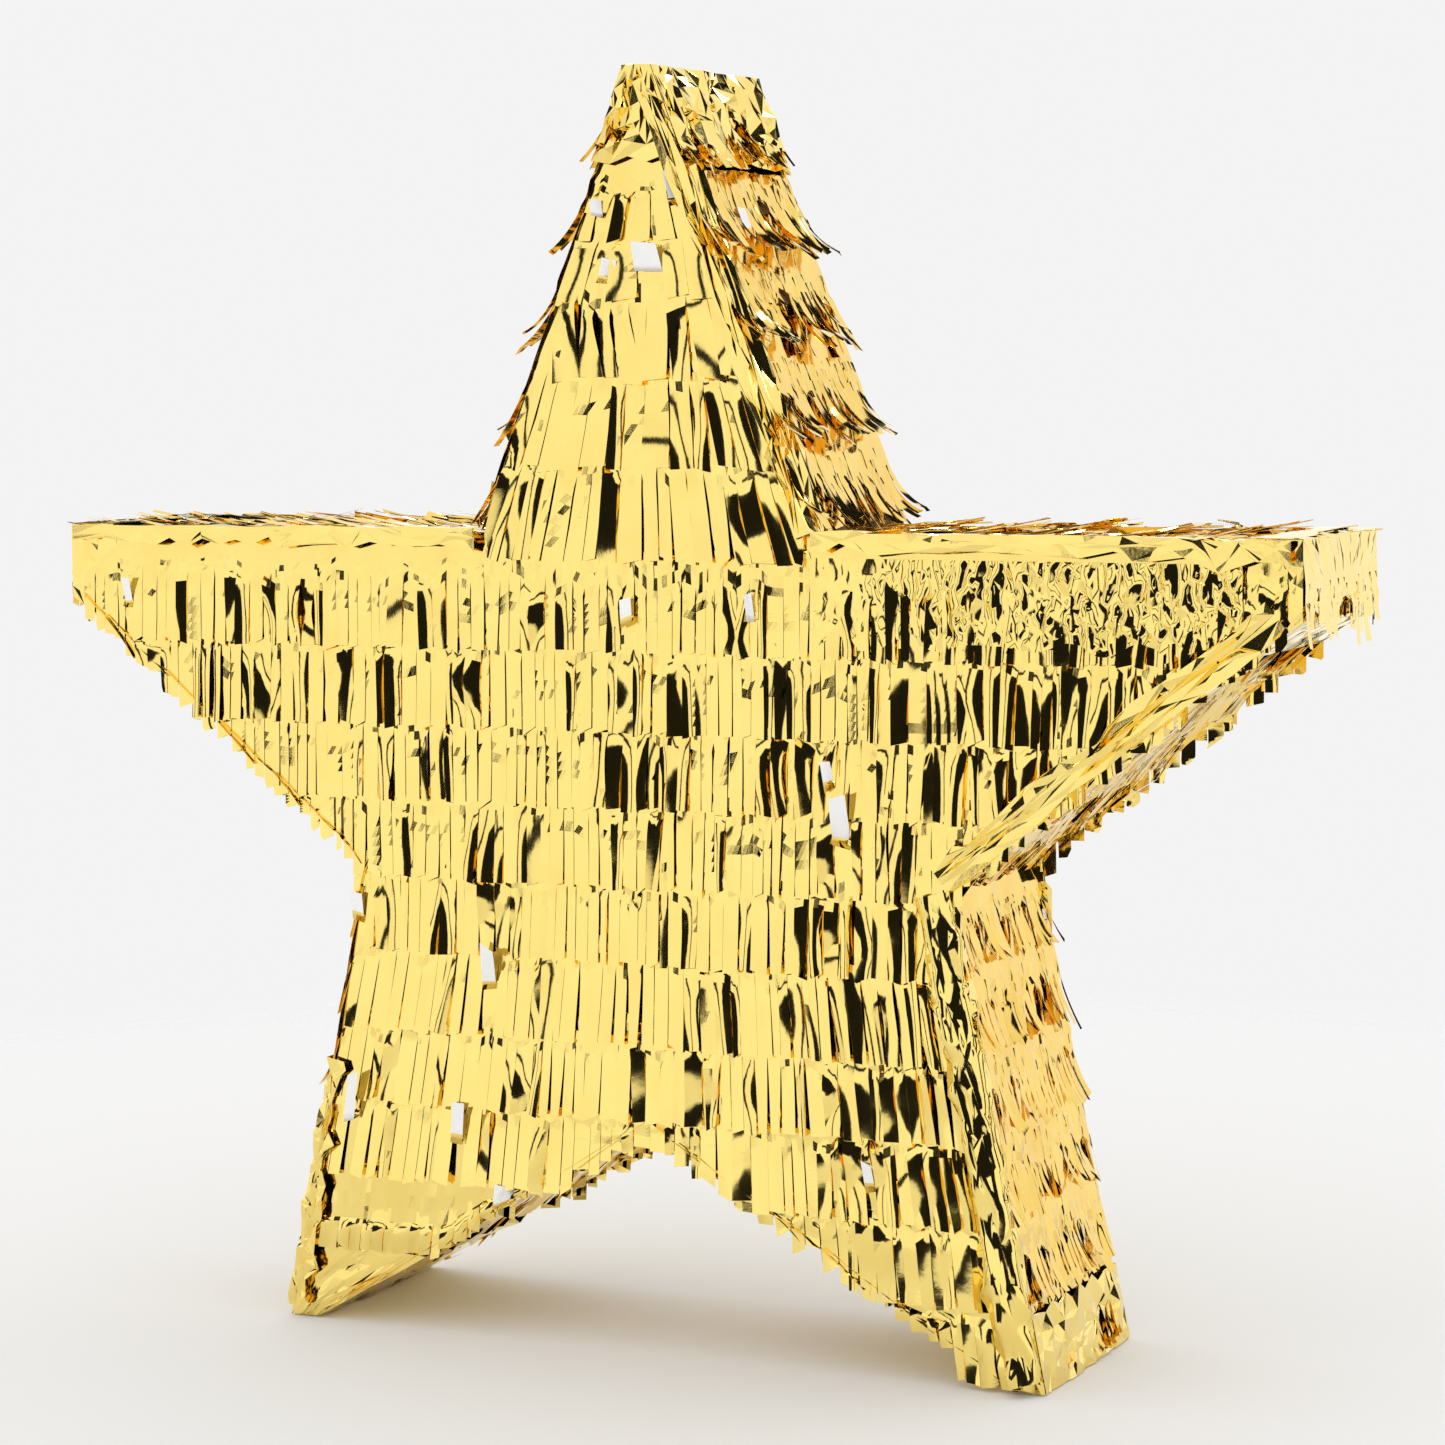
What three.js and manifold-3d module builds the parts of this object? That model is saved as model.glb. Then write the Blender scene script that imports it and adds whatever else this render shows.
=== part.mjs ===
// Star pinata: a hollow card star that stands on its two feet, wrapped in rows of cut gold foil fringe.
// Millimetres, +Z up. The front face looks towards -Y, X runs to the right, and the floor is z = 0.
import * as THREE from 'three';
import { mergeVertices } from 'three/addons/utils/BufferGeometryUtils.js';
import Module from 'manifold-3d';

const wasm = await Module();
wasm.setup();

// ---- driving dimensions ----
// Right half of the finished outline, from the top point down to the crotch, as [x, z].
const TOP_TIP = [5, 436];
const SHOULDER = [63, 282];
const ARM_TIP_TOP = [231, 281];
const ARM_TIP_BOTTOM = [226, 255];
const WAIST = [111, 165];
const FOOT_OUTER = [143, 0];
const FOOT_INNER = [132, 0];
const CROTCH = [0, 78];

const HALF_DEPTH = 44;          // front or back of the foil, from the middle plane
const SKIN = 3;                 // room for the foil over the card, on every side
const CARD = 2.5;               // thickness of the corrugated card
const GAP = 0.3;                // air between neighbouring pieces

const TOP_CAP_EDGE = 404;       // where the foil wrap of the top point ends
const ARM_CAP_EDGE = 211;       // where the foil wrap of each side point ends
const FOOT_CAP_EDGE = 26;       // where the foil wrap of each foot ends

// Heights of the cut ends of the fringe rows, from the top point down. They are laid by hand, so they vary.
const ROW_ENDS = [378, 358, 332, 302, 271, 240, 213, 187, 160, 134, 106, 80, 53, 26];
const TOP_POINT_ROWS = 5;       // the rows that stay within the width of the top point
const ROW_LAP = 9;              // how far a row reaches up behind the row above it
const FOIL = 0.8;               // thickness that stands for one row of curled film
const LIFT = 1.7;               // how much further from the card the cut ends stand than the glued edge
const FLANK_PITCH = 30;         // spacing of the rows along the side walls

const FLAP_X = [-44.7, 44.5];   // filling flap in the back, left and right edges
const FLAP_Z = [148, 236];      // filling flap, bottom and top edges
const HINGE_X = -45;            // crease that the flap turns on, in the outer face of the back panel
const FLAP_SLIT = 0.5;          // cut line above, below and beside the flap
const CREASE_STRIP = [-51.5, -46];   // ends short of the crease, which leaves room for the open flap
const CREASE_FOIL = 0.6;
const FLAP_FRINGE_LEFT = -39;   // the flap's fringe keeps clear of the crease
const FLAP_ZONE_X = [-52, 46.5];

const CORD_HOLE = 1.5;          // radius of the two holes for the hanging cord
const CORD_HOLE_Y = 20;         // each hole's distance from the middle plane
const BOARD_Z = [392, 395];     // stiffening board inside the top point
const BOARD_CLEARANCE = 0.6;

// ---- materials ----
const kraftCard = () => new THREE.MeshStandardMaterial({ color: 0xb08a58, roughness: 0.9, metalness: 0 });
const goldFoil = () => new THREE.MeshStandardMaterial({ color: 0xf2cf6b, roughness: 0.18, metalness: 1 });
const goldTape = () => new THREE.MeshStandardMaterial({ color: 0xe0b850, roughness: 0.25, metalness: 1 });

// ---- outlines in the X-Z plane, clockwise seen from the front ----
const mirrored = ([x, z]) => [-x, z];

function starOutline() {
  const right = [TOP_TIP, SHOULDER, ARM_TIP_TOP, ARM_TIP_BOTTOM, WAIST, FOOT_OUTER, FOOT_INNER];
  const left = right.map(mirrored).reverse();
  return [...right, CROTCH, ...left].map(([x, z]) => new THREE.Vector2(x, z));
}

// Moves every side of a clockwise outline inwards by a distance and finds the new corners.
function inset(outline, distance) {
  const count = outline.length;
  const sides = outline.map((corner, i) => {
    const along = outline[(i + 1) % count].clone().sub(corner).normalize();
    const inward = new THREE.Vector2(along.y, -along.x);
    return { start: corner.clone().addScaledVector(inward, distance), along };
  });
  return sides.map((side, i) => {
    const before = sides[(i + count - 1) % count];
    const turn = before.along.cross(side.along);
    const step = side.start.clone().sub(before.start).cross(side.along) / turn;
    return before.start.clone().addScaledVector(before.along, step);
  });
}

const FOIL_OUTLINE = starOutline();
const CARD_OUTLINE = inset(FOIL_OUTLINE, SKIN);
const CARD_INSIDE = inset(CARD_OUTLINE, CARD);
const CARD_FACE = HALF_DEPTH - SKIN;

// The five points of the star: the outline's corners from one inner corner round the point to the next.
const POINTS = {
  top: [13, 14, 0, 1],
  right: [1, 2, 3, 4],
  lower_right: [4, 5, 6, 7],
  lower_left: [7, 8, 9, 10],
  left: [10, 11, 12, 13],
};

// ---- solids ----
// A closed outline in X-Z, pushed through from yNear to yFar.
function acrossDepth(points, yNear, yFar, hole = null) {
  const shape = new THREE.Shape(points);
  if (hole) shape.holes.push(new THREE.Path(hole));
  const geometry = new THREE.ExtrudeGeometry(shape, { depth: yFar - yNear, bevelEnabled: false });
  geometry.rotateX(Math.PI / 2);
  geometry.translate(0, yFar, 0);
  return geometry;
}

// A closed outline in Y-Z, pushed through from xLeft to xRight.
function acrossWidth(points, xLeft, xRight) {
  const shape = new THREE.Shape(points.map(([y, z]) => new THREE.Vector2(y, z)));
  const geometry = new THREE.ExtrudeGeometry(shape, { depth: xRight - xLeft, bevelEnabled: false });
  const turn = new THREE.Matrix4().makeBasis(
    new THREE.Vector3(0, 1, 0), new THREE.Vector3(0, 0, 1), new THREE.Vector3(1, 0, 0));
  geometry.applyMatrix4(turn);
  geometry.translate(xLeft, 0, 0);
  return geometry;
}

function block([x0, x1], [y0, y1], [z0, z1]) {
  const geometry = new THREE.BoxGeometry(x1 - x0, y1 - y0, z1 - z0);
  geometry.translate((x0 + x1) / 2, (y0 + y1) / 2, (z0 + z1) / 2);
  return geometry;
}

function rectangle([x0, x1], [z0, z1]) {
  return [[x0, z0], [x1, z0], [x1, z1], [x0, z1]].map(([x, z]) => new THREE.Vector2(x, z));
}

function solid(geometry) {
  const bare = geometry.clone();
  bare.deleteAttribute('normal');
  bare.deleteAttribute('uv');
  const merged = mergeVertices(bare);
  return new wasm.Manifold(new wasm.Mesh({
    numProp: 3,
    vertProperties: new Float32Array(merged.attributes.position.array),
    triVerts: new Uint32Array(merged.index.array),
  }));
}

function surface(manifold) {
  const { vertProperties, triVerts } = manifold.getMesh();
  const geometry = new THREE.BufferGeometry();
  geometry.setAttribute('position', new THREE.BufferAttribute(vertProperties, 3));
  geometry.setIndex(new THREE.BufferAttribute(triVerts, 1));
  geometry.computeVertexNormals();
  return geometry;
}

// ---- volumes that pieces are trimmed to ----
const FAR = 600;
const WHOLE = [-FAR, FAR];
const LEFT_HALF = [-FAR, 0];
const RIGHT_HALF = [0, FAR];
const TRIM_X = [-ARM_CAP_EDGE + GAP, ARM_CAP_EDGE - GAP];
const TRIM_Z = [FOOT_CAP_EDGE + GAP, TOP_CAP_EDGE - GAP];

const betweenCaps = solid(block(TRIM_X, WHOLE, TRIM_Z));
const overCard = solid(acrossDepth(CARD_OUTLINE, -FAR, FAR)).intersect(betweenCaps);
const flapZone = solid(block(FLAP_ZONE_X, [0, FAR], [FLAP_Z[0] - 2 * FLAP_SLIT, FLAP_Z[1] + 2 * FLAP_SLIT]));

// The two holes for the hanging cord, through everything in the top point.
function cordHoles() {
  const drill = (y) => {
    const rod = new THREE.CylinderGeometry(CORD_HOLE, CORD_HOLE, FAR, 12);
    rod.rotateX(Math.PI / 2);
    rod.translate(0, y, TOP_TIP[1]);
    return solid(rod);
  };
  return drill(-CORD_HOLE_Y).add(drill(CORD_HOLE_Y));
}

// ---- card box ----
function frontPanel() {
  return acrossDepth(CARD_OUTLINE, -CARD_FACE, -CARD_FACE + CARD);
}

function backPanel() {
  const opening = rectangle(
    [HINGE_X, FLAP_X[1] + FLAP_SLIT], [FLAP_Z[0] - FLAP_SLIT, FLAP_Z[1] + FLAP_SLIT]);
  return acrossDepth(CARD_OUTLINE, CARD_FACE - CARD, CARD_FACE, opening);
}

// One folded strip of card round a point, cut short at the inner corners so that strips don't touch.
function pointWall(corners) {
  const trim = (from, to) => from.clone().addScaledVector(to.clone().sub(from).normalize(), GAP);
  const path = (outline) => {
    const [a, b, c, d] = corners.map((i) => outline[i]);
    return [trim(a, b), b, c, trim(d, c)];
  };
  const strip = [...path(CARD_OUTLINE), ...path(CARD_INSIDE).reverse()];
  const reach = CARD_FACE - CARD - GAP;
  return acrossDepth(strip, -reach, reach);
}

function hangingBoard() {
  const [low, high] = BOARD_Z;
  const slope = (SHOULDER[0] - TOP_TIP[0]) / (TOP_TIP[1] - SHOULDER[1]);
  const wall = (SKIN + CARD) * Math.hypot(1, slope) + BOARD_CLEARANCE;
  const corner = (side, z) => new THREE.Vector2(side * (TOP_TIP[0] + (TOP_TIP[1] - z) * slope - wall), z);
  const section = [corner(-1, low), corner(1, low), corner(1, high), corner(-1, high)];
  const reach = CARD_FACE - CARD - GAP;
  const board = acrossDepth(section, -reach, reach);
  return surface(solid(board).subtract(hangingHoles));
}

// ---- filling flap ----
function fillFlap() {
  return block(FLAP_X, [CARD_FACE - CARD, CARD_FACE], FLAP_Z);
}

function creaseStrip() {
  return block(CREASE_STRIP, [CARD_FACE + GAP, CARD_FACE + GAP + CREASE_FOIL], FLAP_Z);
}

function flapFringe() {
  const rows = 3;
  const pitch = (FLAP_Z[1] - FLAP_Z[0] - 2) / rows;
  const profile = [[CARD_FACE + GAP, FLAP_Z[0] + 1], [CARD_FACE + GAP, FLAP_Z[1] - 1]];
  for (let row = 0; row < rows; row += 1) {
    const top = FLAP_Z[1] - 1 - row * pitch;
    profile.push([CARD_FACE + GAP + FOIL, top], [CARD_FACE + GAP + FOIL + LIFT, top - pitch]);
  }
  return acrossWidth(profile, FLAP_FRINGE_LEFT, FLAP_X[1]);
}

// ---- fringe rows on the front and back ----
// side is -1 for the front face and +1 for the back. The plate leans outwards towards its cut end.
function fringeRow(index, side, half) {
  const low = ROW_ENDS[index];
  const high = (index === 0 ? TOP_CAP_EDGE : ROW_ENDS[index - 1]) + ROW_LAP;
  const glued = CARD_FACE + GAP;
  const profile = [[glued, high], [glued + FOIL, high], [glued + FOIL + LIFT, low], [glued + LIFT, low]];
  const reach = index < TOP_POINT_ROWS ? SHOULDER[0] : FAR;
  const plate = solid(acrossWidth(profile.map(([y, z]) => [side * y, z]), -reach, reach));
  const onCard = plate.intersect(overCard);
  const ofHalf = half === WHOLE ? onCard : onCard.intersect(solid(block(half, WHOLE, WHOLE)));
  return surface(side > 0 ? ofHalf.subtract(flapZone) : ofHalf);
}

// ---- fringe on a side wall, from the inner corner to the point's wrap ----
// The cut ends hang towards the lower end, or towards the point along a level wall.
function flankFringe(innerCorner, tipCorner, otherCorner) {
  const start = CARD_OUTLINE[innerCorner];
  const span = CARD_OUTLINE[tipCorner].clone().sub(start);
  const length = span.length();
  const along = span.clone().normalize();
  const fold = CARD_OUTLINE[otherCorner].clone().sub(start).normalize();
  const clockwise = (tipCorner - innerCorner + FOIL_OUTLINE.length) % FOIL_OUTLINE.length === 1;
  const outward = new THREE.Vector2(-along.y, along.x).multiplyScalar(clockwise ? 1 : -1);
  const thick = GAP + FOIL + LIFT;
  const halfAngle = Math.acos(along.dot(fold)) / 2;
  const first = thick / Math.tan(halfAngle) + GAP;
  const rows = Math.round((length - first) / FLANK_PITCH);
  const pitch = (length - first) / rows;
  const cutEndAtTip = along.y < 0.1;
  const profile = [[length, GAP], [first, GAP]];
  for (let row = 0; row < rows; row += 1) {
    const near = first + row * pitch;
    const thin = GAP + FOIL;
    profile.push([near, cutEndAtTip ? thin : thick], [near + pitch, cutEndAtTip ? thick : thin]);
  }
  const outline = profile.map(
    ([s, d]) => start.clone().addScaledVector(along, s).addScaledVector(outward, d));
  return surface(solid(acrossDepth(outline, -CARD_FACE, CARD_FACE)).intersect(betweenCaps));
}

// ---- foil wraps over the five points ----
function foilCap(xRange, zRange) {
  const outside = solid(acrossDepth(FOIL_OUTLINE, -HALF_DEPTH, HALF_DEPTH));
  const hollowOutline = inset(FOIL_OUTLINE, SKIN - GAP);
  const hollow = solid(acrossDepth(hollowOutline, -CARD_FACE - GAP, CARD_FACE + GAP));
  const sock = outside.intersect(solid(block(xRange, WHOLE, zRange)));
  return sock.subtract(hollow);
}

// ---- the assembly ----
const pinata = new THREE.Group();

function add(name, geometry, material) {
  const mesh = new THREE.Mesh(geometry, material);
  mesh.name = name;
  pinata.add(mesh);
}

const hangingHoles = cordHoles();

add('front_panel', frontPanel(), kraftCard());
add('back_panel', backPanel(), kraftCard());
for (const [point, corners] of Object.entries(POINTS)) {
  const wall = pointWall(corners);
  add(`${point}_wall`, point === 'top' ? surface(solid(wall).subtract(hangingHoles)) : wall, kraftCard());
}
add('hanging_board', hangingBoard(), kraftCard());

add('fill_flap', fillFlap(), kraftCard());
add('flap_crease_foil', creaseStrip(), goldTape());
add('flap_fringe', flapFringe(), goldFoil());

const LAST_ROW = ROW_ENDS.length - 1;
const FLAP_ROWS = [7, 8];       // the rows that the flap cuts in two
for (const [face, side] of [['front', -1], ['back', 1]]) {
  ROW_ENDS.forEach((_, index) => {
    const name = `${face}_fringe_${String(index + 1).padStart(2, '0')}`;
    const inTwo = index === LAST_ROW || (side > 0 && FLAP_ROWS.includes(index));
    if (inTwo) {
      add(`${name}_left`, fringeRow(index, side, LEFT_HALF), goldFoil());
      add(`${name}_right`, fringeRow(index, side, RIGHT_HALF), goldFoil());
    } else {
      add(name, fringeRow(index, side, WHOLE), goldFoil());
    }
  });
}

add('top_flank_right', flankFringe(1, 0, 2), goldFoil());
add('top_flank_left', flankFringe(13, 14, 12), goldFoil());
add('right_arm_flank_top', flankFringe(1, 2, 0), goldFoil());
add('right_arm_flank_under', flankFringe(4, 3, 5), goldFoil());
add('left_arm_flank_top', flankFringe(13, 12, 14), goldFoil());
add('left_arm_flank_under', flankFringe(10, 11, 9), goldFoil());
add('right_leg_flank_outer', flankFringe(4, 5, 3), goldFoil());
add('right_leg_flank_inner', flankFringe(7, 6, 8), goldFoil());
add('left_leg_flank_outer', flankFringe(10, 9, 11), goldFoil());
add('left_leg_flank_inner', flankFringe(7, 8, 6), goldFoil());

add('top_cap', surface(foilCap(WHOLE, [TOP_CAP_EDGE, FAR]).subtract(hangingHoles)), goldFoil());
add('right_arm_cap', surface(foilCap([ARM_CAP_EDGE, FAR], WHOLE)), goldFoil());
add('left_arm_cap', surface(foilCap([-FAR, -ARM_CAP_EDGE], WHOLE)), goldFoil());
add('right_foot_cap', surface(foilCap(RIGHT_HALF, [-FAR, FOOT_CAP_EDGE])), goldFoil());
add('left_foot_cap', surface(foilCap(LEFT_HALF, [-FAR, FOOT_CAP_EDGE])), goldFoil());

export default pinata;
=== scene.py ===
"""Gold foil star pinata: cut foil fringe, crumpled foil wraps and card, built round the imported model.

Everything is in metres, +Z up. The front face looks towards -Y and the star stands on the floor, z = 0.
"""

import math
from dataclasses import dataclass

import bmesh
import bpy
import numpy as np
from bpy.props import FloatProperty, FloatVectorProperty, IntProperty, PointerProperty
from mathutils import Matrix, Vector


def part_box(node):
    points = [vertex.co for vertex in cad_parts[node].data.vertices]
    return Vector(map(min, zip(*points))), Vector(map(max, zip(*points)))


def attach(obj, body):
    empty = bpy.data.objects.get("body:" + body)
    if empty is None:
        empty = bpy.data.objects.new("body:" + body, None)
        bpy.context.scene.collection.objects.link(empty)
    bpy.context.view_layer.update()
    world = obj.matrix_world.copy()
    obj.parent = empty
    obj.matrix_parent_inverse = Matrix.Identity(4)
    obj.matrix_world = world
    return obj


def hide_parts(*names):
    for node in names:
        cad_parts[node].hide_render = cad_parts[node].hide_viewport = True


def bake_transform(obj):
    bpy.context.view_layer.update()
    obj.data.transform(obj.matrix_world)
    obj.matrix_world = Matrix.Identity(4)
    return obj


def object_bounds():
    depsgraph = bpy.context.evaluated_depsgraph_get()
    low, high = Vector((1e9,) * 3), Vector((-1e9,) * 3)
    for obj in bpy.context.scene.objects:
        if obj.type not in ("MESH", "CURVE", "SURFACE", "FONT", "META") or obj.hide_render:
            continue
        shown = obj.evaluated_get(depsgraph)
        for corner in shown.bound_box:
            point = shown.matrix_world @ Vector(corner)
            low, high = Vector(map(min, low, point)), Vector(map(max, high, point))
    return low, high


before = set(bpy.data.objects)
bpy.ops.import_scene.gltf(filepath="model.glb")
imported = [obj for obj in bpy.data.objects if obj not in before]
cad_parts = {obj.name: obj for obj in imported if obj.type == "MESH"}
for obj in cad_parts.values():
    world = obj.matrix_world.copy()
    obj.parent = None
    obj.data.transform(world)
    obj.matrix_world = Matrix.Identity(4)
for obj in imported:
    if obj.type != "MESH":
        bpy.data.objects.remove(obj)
CAD_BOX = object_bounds()

bl_info = {
    "name": "Foil star pinata",
    "version": (1, 0, 0),
    "blender": (4, 5, 0),
    "location": "View3D > Sidebar > Pinata",
    "description": "Dresses a card star in rows of cut gold foil fringe",
    "category": "Object",
}

MM = 0.001
SKIN = 3 * MM                   # room that the foil takes over the card
LAP = 9 * MM                    # how far a row reaches up behind the row above it
SHELL = "shell"
FLAP = "flap"
FRONT = -1
BACK = 1
FIRST_ARM_ROW = 6               # the first row that runs out along the side points
SMOOTH_ROW = "front_fringe_14_left"     # hardly cut at all


# ---------------------------------------------------------------- settings


def length_setting(name, default, description):
    return FloatProperty(
        name=name, description=description, default=default, subtype="DISTANCE", unit="LENGTH")


def angle_setting(name, degrees, description):
    return FloatProperty(
        name=name, description=description, default=math.radians(degrees), subtype="ANGLE", unit="ROTATION")


def colour_setting(name, default, description):
    return FloatVectorProperty(
        name=name, description=description, default=default, subtype="COLOR", min=0, max=1)


def count_setting(name, default, description, least=1):
    return IntProperty(name=name, description=description, default=default, min=least)


class FringeSettings(bpy.types.PropertyGroup):
    """Sizes of the cut fringe."""

    strip_width: length_setting("Strip width", 4.7 * MM, "Usual width of one cut strip")
    header: length_setting("Uncut band", 9 * MM, "Height of the uncut band that a row is glued by")
    overhang: length_setting("Overhang", 5 * MM, "How far strips hang past the edge of the card")
    film: length_setting("Film", 0.1 * MM, "Thickness of the foil film as modelled")
    tuck: length_setting("Tuck", 19 * MM, "How much further the band runs up behind the row above")
    uneven: length_setting("Uneven cuts", 3 * MM, "How much higher or lower single cuts start")
    reach: length_setting("Reach", 9 * MM, "How far a strip may stand off its wall")
    flank_pitch: length_setting("Side pitch", 30 * MM, "Spacing of the rows on the side walls")
    across: count_setting("Faces across", 3, "Faces across one strip")
    header_faces: count_setting("Band faces", 9, "Faces down the uncut band")
    strip_faces: count_setting("Strip faces", 8, "Faces down one strip", least=2)


class FoilSettings(bpy.types.PropertyGroup):
    """Colours of the foil and the card."""

    gold: colour_setting("Gold", (0.985, 0.775, 0.245), "Colour of the foil's metal")
    # The deep gold is the foil's thicker coat on the front, and also the lighter colour of the painted shade
    # on the side walls.
    deep_gold_and_side_shade: colour_setting("Deep gold", (0.94, 0.68, 0.17), "Colour of the foil where its coat is thicker")
    # Painted shade: the side walls take a darker copy of the same foil, in deep gold and amber.
    side_shade_amber: colour_setting("Amber", (0.82, 0.5, 0.09), "Colour of the darkest foil, on the side walls")
    # The film's pale back, kept white so that folded strips show white: partly the real back, partly a
    # painted highlight.
    pale_back_and_glint: colour_setting("Underside", (0.97, 0.97, 0.96), "Colour of the film's pale back")
    card: colour_setting("Card", (0.45, 0.28, 0.13), "Colour of the brown card")
    wrap_cell: length_setting("Crease spacing", 7 * MM, "Spacing of the creases in crumpled foil")


class StageSettings(bpy.types.PropertyGroup):
    """The camera, the floor and the light."""

    azimuth: angle_setting("Azimuth", 25, "How far the camera stands to the right of the front")
    elevation: angle_setting("Elevation", 5.4, "How far the camera stands above the level")
    roll: angle_setting("Roll", -0.5, "Turn of the camera about its own line of sight")
    distance: length_setting("Distance", 1.3805, "From the camera to the middle of the view")
    lens: FloatProperty(
        name="Lens", description="Focal length on a 36 mm wide sensor, in millimetres", default=99.65)
    backdrop: colour_setting("Backdrop", (0.9, 0.9, 0.9), "Colour of the pale floor and of the room")


# ---------------------------------------------------------------- outline of the star


def card_outline():
    """Corners of the card star as (x, z), clockwise from the top, read off the front panel."""
    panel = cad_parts["front_panel"].data
    corners = sorted({(round(v.co.x, 5), round(v.co.z, 5)) for v in panel.vertices})
    middle = sum(z for _, z in corners) / len(corners)
    turn = lambda c: math.atan2(c[0], c[1] - middle) % math.tau
    return np.array(sorted(corners, key=turn))


def moved_out(outline, distance):
    """The outline with every side moved outwards by a distance."""
    along = np.roll(outline, -1, axis=0) - outline
    along /= np.linalg.norm(along, axis=1)[:, None]
    starts = outline + distance * np.stack([-along[:, 1], along[:, 0]], axis=1)
    corners = []
    for i in range(len(outline)):
        a, b = along[i - 1], along[i]
        gap = starts[i] - starts[i - 1]
        step = (gap[0] * b[1] - gap[1] * b[0]) / (a[0] * b[1] - a[1] * b[0])
        corners.append(starts[i - 1] + step * a)
    return np.array(corners)


def inside(outline, x, z):
    """Whether each point lies in the outline."""
    x, z = np.broadcast_arrays(x, z)
    odd = np.zeros(x.shape, bool)
    for (x0, z0), (x1, z1) in zip(outline, np.roll(outline, -1, axis=0)):
        if z0 != z1:
            crosses = (z0 > z) != (z1 > z)
            odd ^= crosses & (x < (x1 - x0) * (z - z0) / (z1 - z0) + x0)
    return odd


def crossings(outline, level, axis):
    """Where a line at one level of an axis crosses the outline, along the other axis."""
    other = 1 - axis
    found = []
    for a, b in zip(outline, np.roll(outline, -1, axis=0)):
        if (a[axis] > level) != (b[axis] > level):
            share = (level - a[axis]) / (b[axis] - a[axis])
            found.append(a[other] + share * (b[other] - a[other]))
    return sorted(found)


CARD = card_outline()
FOIL = moved_out(CARD, SKIN)
CARD_FACE = abs(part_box("front_panel")[0].y)
FOIL_FACE = CARD_FACE + SKIN


# ---------------------------------------------------------------- shapes of handled foil


def seeded(name):
    """A random generator that is the same for a name in every run."""
    return np.random.default_rng(sum((i + 1) * ord(c) for i, c in enumerate(name)))


def ripple(a, b, period, rng, waves=5):
    """Smooth buckling between about -1 and 1."""
    height = np.zeros(np.broadcast(a, b).shape)
    for _ in range(waves):
        turn, phase = rng.uniform(0, math.tau, 2)
        reach = period * rng.uniform(0.7, 1.6)
        height += np.sin((a * math.cos(turn) + b * math.sin(turn)) * math.tau / reach + phase)
    return height / math.sqrt(waves)


def creases(points, period, rng, layers=6):
    """Height of crumpled foil: flat facets between sharp, slightly bowed folds, as slope times length."""
    height = np.zeros(points.shape[:-1])
    for layer in range(layers):
        turn, side = rng.normal(0, 1, (2, 3))
        turn /= np.linalg.norm(turn)
        side -= turn * (turn @ side)
        side /= np.linalg.norm(side)
        reach = period * 0.78 ** layer * rng.uniform(0.8, 1.25)
        phase, bow = rng.uniform(0, math.tau, 2)
        fold = points @ turn / reach + phase + 0.45 * np.sin(points @ side / (0.7 * reach) + bow)
        height += np.abs(fold - np.round(fold)) * reach
    return height / math.sqrt(layers)


# ---------------------------------------------------------------- patches and sheets


@dataclass
class Patch:
    """A flat wall: up and out are its directions, and x runs to the right as it is looked at."""

    origin: Vector
    up: Vector
    out: Vector

    def place(self, x, z, d):
        right = self.up.cross(self.out)
        points = [np.multiply.outer(v, np.array(w)) for v, w in ((x, right), (z, self.up), (d, self.out))]
        return np.array(self.origin) + sum(points)


@dataclass
class Manner:
    """How a row of strips hangs. Angles are in degrees."""

    lift: float = 1.6           # how steeply the strips stand off the wall
    curl: float = 4             # how much further they turn out towards their ends
    twist: float = 1.8          # how far they turn about their own length
    wild: float = 0.14          # share of the strips that turn away or fold
    turned: float = 0.02        # share of the strips that fold over and show their pale back, white as a painted highlight
    sway: float = 1.2           # how far they lean to one side
    ragged: float = 1.0 * MM    # how unevenly the ends are cut
    ripple: float = 0.10 * MM   # buckling of the uncut band
    crumple: float = 0.03       # slope of the fine creases
    gap: float = 0.035          # share of a strip's width that is lost between it and the next
    bend: float = 0.015         # how far a strip is dished across its width
    depth: float = 0.8 * MM     # how far the band stands off the wall
    bunched: float = 0.4        # how likely a strip is to hang just like the one before it
    pinch: float = 0.3 * MM     # crinkles where the cuts start


def face_patch(side):
    return Patch(Vector((0, side * CARD_FACE, 0)), Vector((0, 0, 1)), Vector((0, side, 0)))


def strip_edges(left, right, width, rng):
    """Uneven cuts from left to right, about a strip's width apart."""
    count = max(2, round((right - left) / width))
    steps = rng.uniform(0.65, 1.35, count)
    return left + (right - left) * np.concatenate([[0], np.cumsum(steps) / steps.sum()])


def grid_with_cuts(count, across, header_faces, strip_faces):
    """A grid that is whole down to the cut line, and split between strips below it.

    Returns it with each vertex's column, row and strip."""
    columns, rows = count * across, header_faces + strip_faces
    bm = bmesh.new()
    bmesh.ops.create_grid(bm, x_segments=columns, y_segments=rows, size=0.5)
    column = lambda v: round((v.co.x + 0.5) * columns)
    row = lambda v: round((0.5 - v.co.y) * rows)
    cuts = []
    for edge in bm.edges:
        a, b = edge.verts
        at = column(a)
        if at == column(b) and at % across == 0 and 0 < at < columns and min(row(a), row(b)) >= header_faces:
            cuts.append(edge)
    bmesh.ops.split_edges(bm, edges=cuts)
    bm.verts.ensure_lookup_table()
    places = []
    for vert in bm.verts:
        middle = sum(face.calc_center_median().x for face in vert.link_faces) / len(vert.link_faces)
        strip = min(count - 1, int((middle + 0.5) * count))
        places.append((column(vert), row(vert), strip))
    return bm, np.array(places)


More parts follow.
